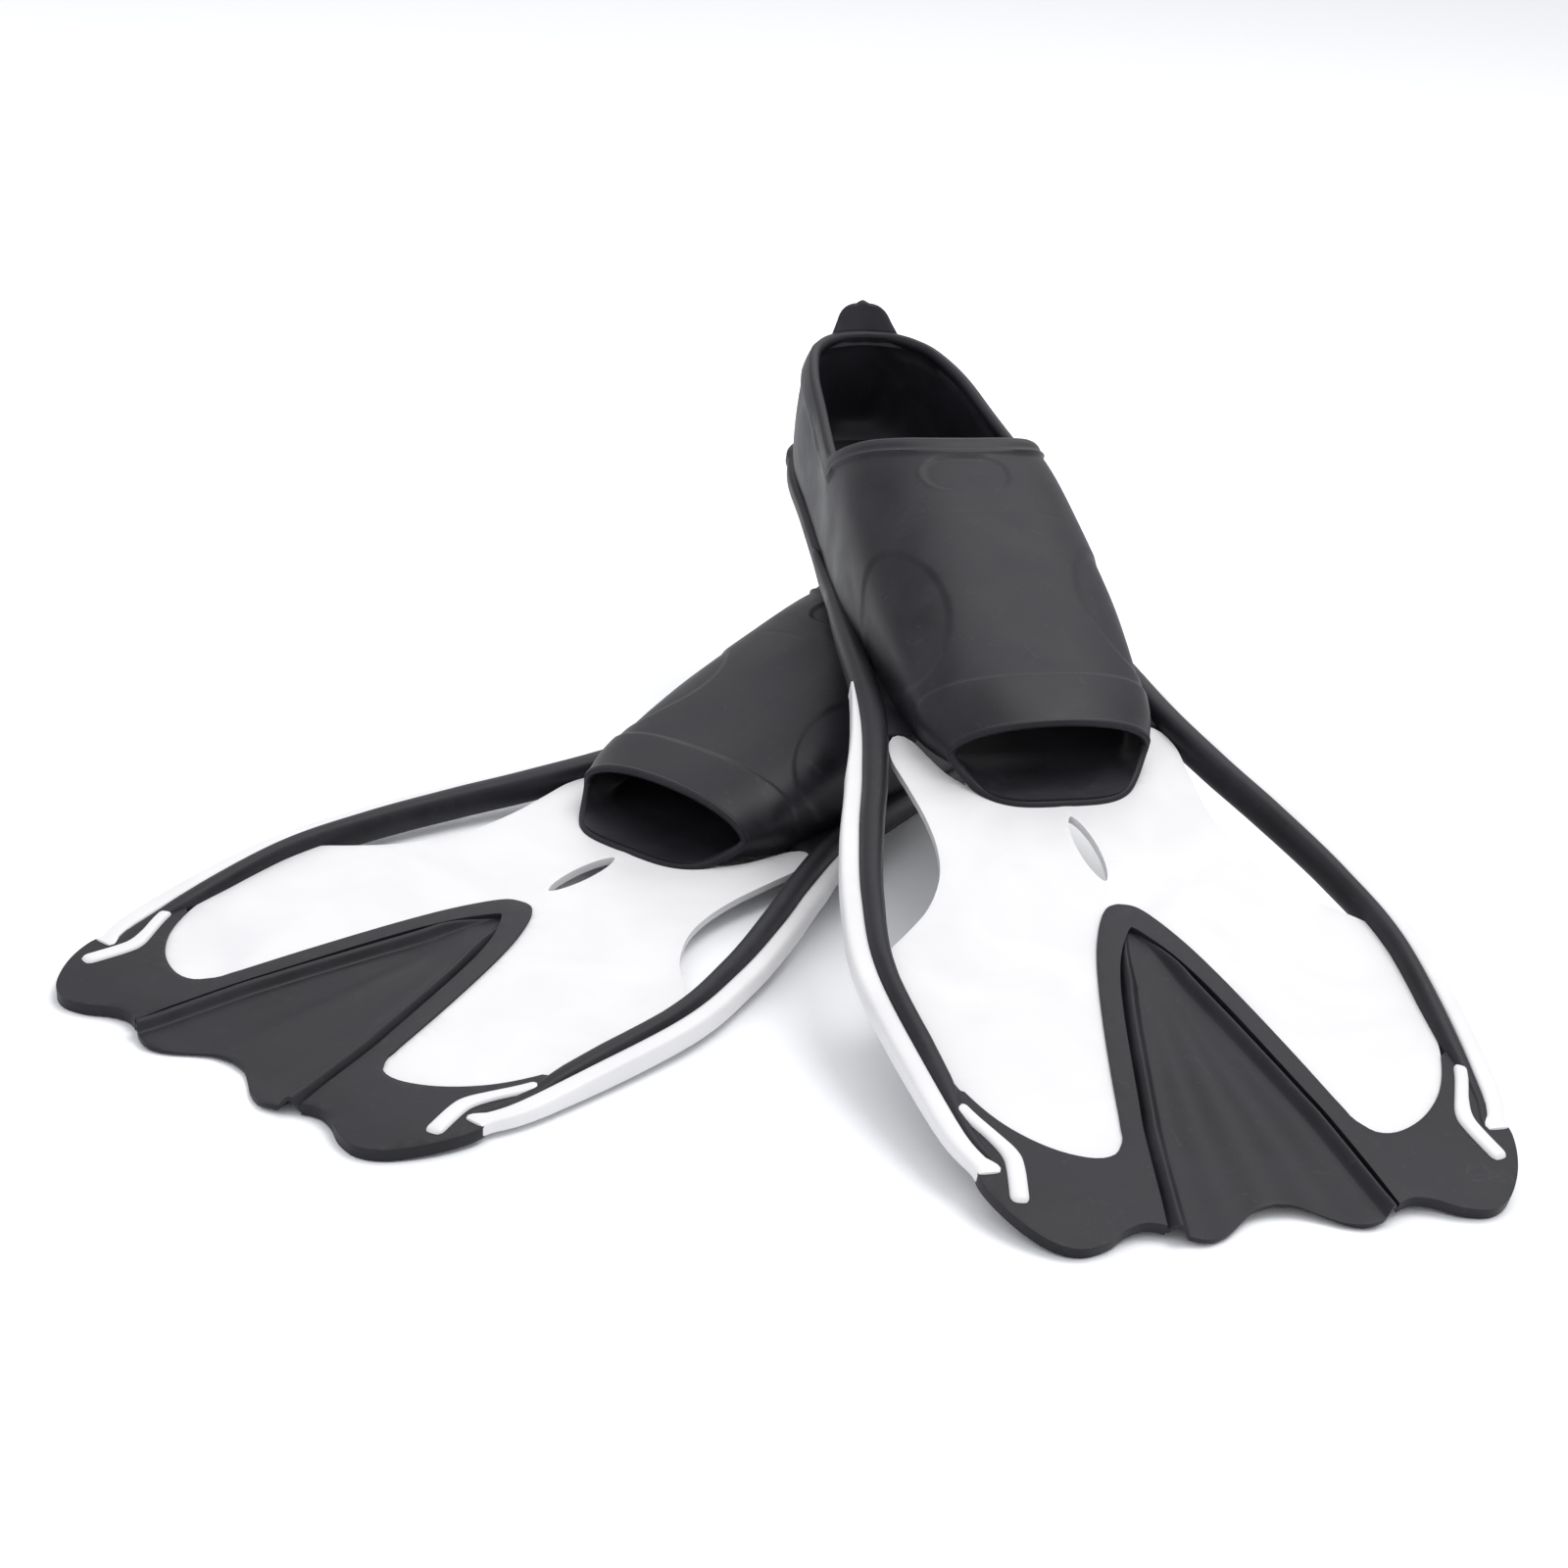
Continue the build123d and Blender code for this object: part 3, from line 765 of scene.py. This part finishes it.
def build_plate(fin):
    mesh = bmesh.new()
    channel = [(across, reach) for reach, across in channel_edge if reach < 455]
    plate = flowing([Vector(point) for point in PLATE_EDGE], 3)
    right = [(point.x, point.y) for point in plate] + list(reversed(channel))
    loop = right + [(-x, y) for x, y in reversed(right) if x > 0.01]
    centre_x, centre_y, half, long = SLOT
    slot = []
    for index in range(40):
        turn = 2 * math.pi * index / 40
        aside = half * signed_power(math.sin(turn), 1.25)
        slot.append((centre_x + aside, centre_y + long * math.cos(turn)))
    outline_face(mesh, [loop, slot])
    cut_rows(mesh, 1, range(220, 462, 6))
    cut_rows(mesh, 0, [x for x in range(-96, 97, 12) if x])

    def relief(x, y):
        rim = 0.9 * bump(math.hypot(x / half, (y - centre_y) / long), 1.0, 0.55)
        return 0.5 * rim if abs(x) < 3 * half else 0

    slab(mesh, 3.0, relief, 0.55, under=lambda x, y: 0)
    piece = finished(mesh, fin, "plate", plastic_material(),
                     ["neck_plate", "blade_plate"], sharp=30)
    bend(piece, fin)


tip_edge = smooth_table([(across, reach) for across, reach in TIP_EDGE[:-1]], 1, 2)


def inner_edge(reach):
    """Half width of the channel inside its border."""
    return max(0.0, between(inner_edge_table, reach))


def inner_channel():
    """Right half of the border's inner edge, from its apex to the tip."""
    edge = [(0, 345), (1.6, 346.5), (4, 350), (8.2, 357)]
    edge += [(inner_edge(reach), reach) for reach in range(366, 492, 12)]
    last = inner_edge(496)
    return edge + [(last, between(tip_edge, last))]


def build_membrane(fin):
    """The fan between the borders: a round rib beside each border and soft folds between."""
    mesh = bmesh.new()
    apex, overlap, band = 341, 1.6, 11.0

    def place(u, v):
        share = 2 * u - 1
        side, share = math.copysign(1, share), abs(share)
        across = share * inner_edge(495)
        for _ in range(3):
            end = between(tip_edge, across) - 0.2
            reach = apex + (end - apex) * v
            half = inner_edge(reach) + overlap * smooth_step(apex, apex + 8, reach)
            edge_band = min(band, 0.62 * half)
            if share > 0.5:
                inside = edge_band * (1 - share) / 0.5
            else:
                inside = edge_band + (half - edge_band) * (0.5 - share) / 0.5
            across = half - inside
        return Vector((side * across, reach, 0))

    patch(mesh, 76, 84, place)

    def relief(x, y):
        half = inner_edge(y) + overlap
        inside = half - abs(x)
        scale = min(1, 0.62 * half / band)
        grown = smooth_step(356, 392, y)
        rib = 4.0 * bump(inside / max(0.2, scale), 5.6, 3.9) * smooth_step(343, 372, y)
        fan = max(0, 1 - max(0, inside - band * scale) / max(1, half - band * scale))
        folds = 0.8 * math.cos(2 * math.pi * fan) * smooth_step(372, 450, y)
        sunk = -1.2 - 0.9 * grown - 0.6 * smooth_step(400, 470, y) * (1 - fan)
        return sunk + rib + folds + 0.4 * smooth_step(488, 500, y)

    slab(mesh, 2.0, relief, 0.5, under=lambda x, y: max(-1.7, relief(x, y)))
    piece = finished(mesh, fin, "membrane", membrane_material(),
                     ["channel_membrane"], sharp=50)
    bend(piece, fin)


def build_tip_trim(fin):
    """The flat border of the channel, running into the two outer lobes of the tip."""
    mesh = bmesh.new()
    start = inner_channel()[-1][0]
    tip = [point for point in flowing([Vector(point) for point in TIP_EDGE], 2.0) if point.x > start + 1]
    outer = [(99, 456), (98.5, 446), (97.5, 434), (96.8, 425)]
    rim = flowing([Vector(point) for point in PLATE_EDGE], 3)
    plate = [point for point in rim if point.y > 426 and point.x > 44]
    right = flowing([Vector(point) for point in inner_channel()], 3)
    right = [(point.x, point.y) for point in right] + [(point.x, point.y) for point in tip] + outer
    right += [(point.x, point.y) for point in plate]
    right += [(across, reach) for reach, across in reversed(channel_edge) if reach < 455]
    loop = right + [(-x, y) for x, y in reversed(right) if x > 0.01]
    outline_face(mesh, [loop])
    cut_rows(mesh, 0, [x * 5 for x in range(-20, 21)])
    cut_rows(mesh, 1, range(340, 502, 6))

    def relief(x, y):
        scallop = -0.7 * smooth_step(478, 502, y)
        return 1.2 * smooth_step(328, 334, y) + scallop

    slab(mesh, 4.6, relief, 1.0)
    piece = finished(mesh, fin, "tip", rubber_material(), ["tip_trim"], sharp=50)
    bend(piece, fin)


def build_inserts(fin):
    for side, side_name in ((-1, "left"), (1, "right")):
        mesh = bmesh.new()
        route = flowing([Vector((side * x, y, -0.6)) for x, y in INSERT_ROUTE], 1.2)
        tube(mesh, route, lambda share: 2.7 + 0.8 * smooth_step(0.3, 0.6, share), 3.3,
             around=20, roundness=3.4, ends_shrink=3)
        piece = finished(mesh, fin, "corner_insert_" + side_name, plastic_material(),
                         ["insert_" + side_name], merge=0.02)
        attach(piece, fin + "_blade")


# ---------------------------------------------------------------- operators
def make_operator(label, note, build):
    """An operator class that models one kind of piece on both fins."""
    def execute(self, context):
        for fin in FINS:
            build(fin)
        return {"FINISHED"}

    name = label.lower().replace(" ", "_")
    return type("SWIMFIN_OT_" + name, (bpy.types.Operator,), {
        "bl_idname": "swimfin." + name, "bl_label": label, "__doc__": note, "execute": execute,
    })


class SWIMFIN_OT_stage(bpy.types.Operator):
    """Adds the floor, the studio light and the camera"""
    bl_idname = "swimfin.stage"
    bl_label = "Stage"

    def execute(self, context):
        build_stage()
        return {"FINISHED"}


CAMERA_PLACE = Vector((-0.0015, -0.9592, 0.4495))
CAMERA_DOWN = math.radians(23.05)
CAMERA_ROLL = math.radians(4.53)
CAMERA_LENS = 55.64


def build_stage():
    scene = bpy.context.scene
    mesh = bmesh.new()
    bmesh.ops.create_grid(mesh, x_segments=2, y_segments=2, size=30)
    data = bpy.data.meshes.new("floor")
    mesh.to_mesh(data)
    mesh.free()
    floor = bpy.data.objects.new("floor", data)
    floor.location.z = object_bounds()[0][2] - 0.0003
    scene.collection.objects.link(floor)
    material, tree, shader = new_material("pale studio floor")
    shader.inputs["Base Color"].default_value = linear("#fbfcfe")
    shader.inputs["Roughness"].default_value = 0.75
    data.materials.append(material)
    floor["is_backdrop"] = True

    world = bpy.data.worlds.new("studio")
    world.use_nodes = True
    world.node_tree.nodes["Background"].inputs["Color"].default_value = linear("#fcfdff")
    world.node_tree.nodes["Background"].inputs["Strength"].default_value = 0.88
    scene.world = world

    for name, place, size, power, colour in (
        ("key", (1.5, 0.5, 3.6), 2.2, 72, "#ffffff"),
        ("fill", (-1.3, -0.9, 1.4), 1.4, 3.0, "#f6f8ff"),
        ("back", (0.2, 1.8, 1.5), 1.6, 8, "#ffffff"),
    ):
        lamp = bpy.data.lights.new(name, "AREA")
        lamp.size = size
        lamp.energy = power
        lamp.color = linear(colour)[:3]
        light = bpy.data.objects.new(name, lamp)
        light.location = place
        aim = Vector((0, 0, 0.05)) - Vector(place)
        light.rotation_euler = aim.to_track_quat("-Z", "Y").to_euler()
        scene.collection.objects.link(light)

    camera_data = bpy.data.cameras.new("camera")
    camera_data.lens = CAMERA_LENS
    camera_data.clip_start = 0.01
    camera = bpy.data.objects.new("camera", camera_data)
    turn = Matrix.Rotation(math.pi / 2 - CAMERA_DOWN, 4, "X") @ Matrix.Rotation(CAMERA_ROLL, 4, "Z")
    camera.matrix_world = Matrix.Translation(CAMERA_PLACE) @ turn
    scene.collection.objects.link(camera)
    scene.camera = camera
    scene.view_settings.view_transform = "Standard"


PIECE_OPERATORS = [
    make_operator("Foot Pocket", "Models the rubber foot pockets, their rims and badge recess",
                  build_foot_pocket),
    make_operator("Heel Tab", "Models the pull tabs behind the heels", build_heel_tab),
    make_operator("Sole Tread", "Models the wavy outsoles", build_sole_tread),
    make_operator("Side Rails", "Models the raised rails along the blades", build_rails),
    make_operator("Edge Strips", "Models the white strips outside the rails", build_strips),
    make_operator("Plate", "Models the white blade plates with their slots", build_plate),
    make_operator("Membrane", "Models the folded fans inside the channels", build_membrane),
    make_operator("Tip Trim", "Models the channel borders and the scalloped tips", build_tip_trim),
    make_operator("Corner Inserts", "Models the bent white bars in the tip corners", build_inserts),
]


class SWIMFIN_PT_panel(bpy.types.Panel):
    """Lists the steps that make the pair"""
    bl_label = "Swim Fins"
    bl_space_type = "VIEW_3D"
    bl_region_type = "UI"
    bl_category = "Swim Fins"

    def draw(self, context):
        for operator in PIECE_OPERATORS + [SWIMFIN_OT_stage]:
            self.layout.operator(operator.bl_idname)


CLASSES = [FinLooks, FinSizes, *PIECE_OPERATORS, SWIMFIN_OT_stage, SWIMFIN_PT_panel]


def register():
    for each in CLASSES:
        bpy.utils.register_class(each)
    bpy.types.Scene.fin_looks = PointerProperty(type=FinLooks)
    bpy.types.Scene.fin_sizes = PointerProperty(type=FinSizes)


def unregister():
    del bpy.types.Scene.fin_sizes
    del bpy.types.Scene.fin_looks
    for each in reversed(CLASSES):
        bpy.utils.unregister_class(each)


def main():
    register()
    for operator in PIECE_OPERATORS:
        getattr(bpy.ops.swimfin, operator.bl_idname.split(".")[1])()
    bpy.ops.swimfin.stage()


if __name__ == "__main__":
    main()
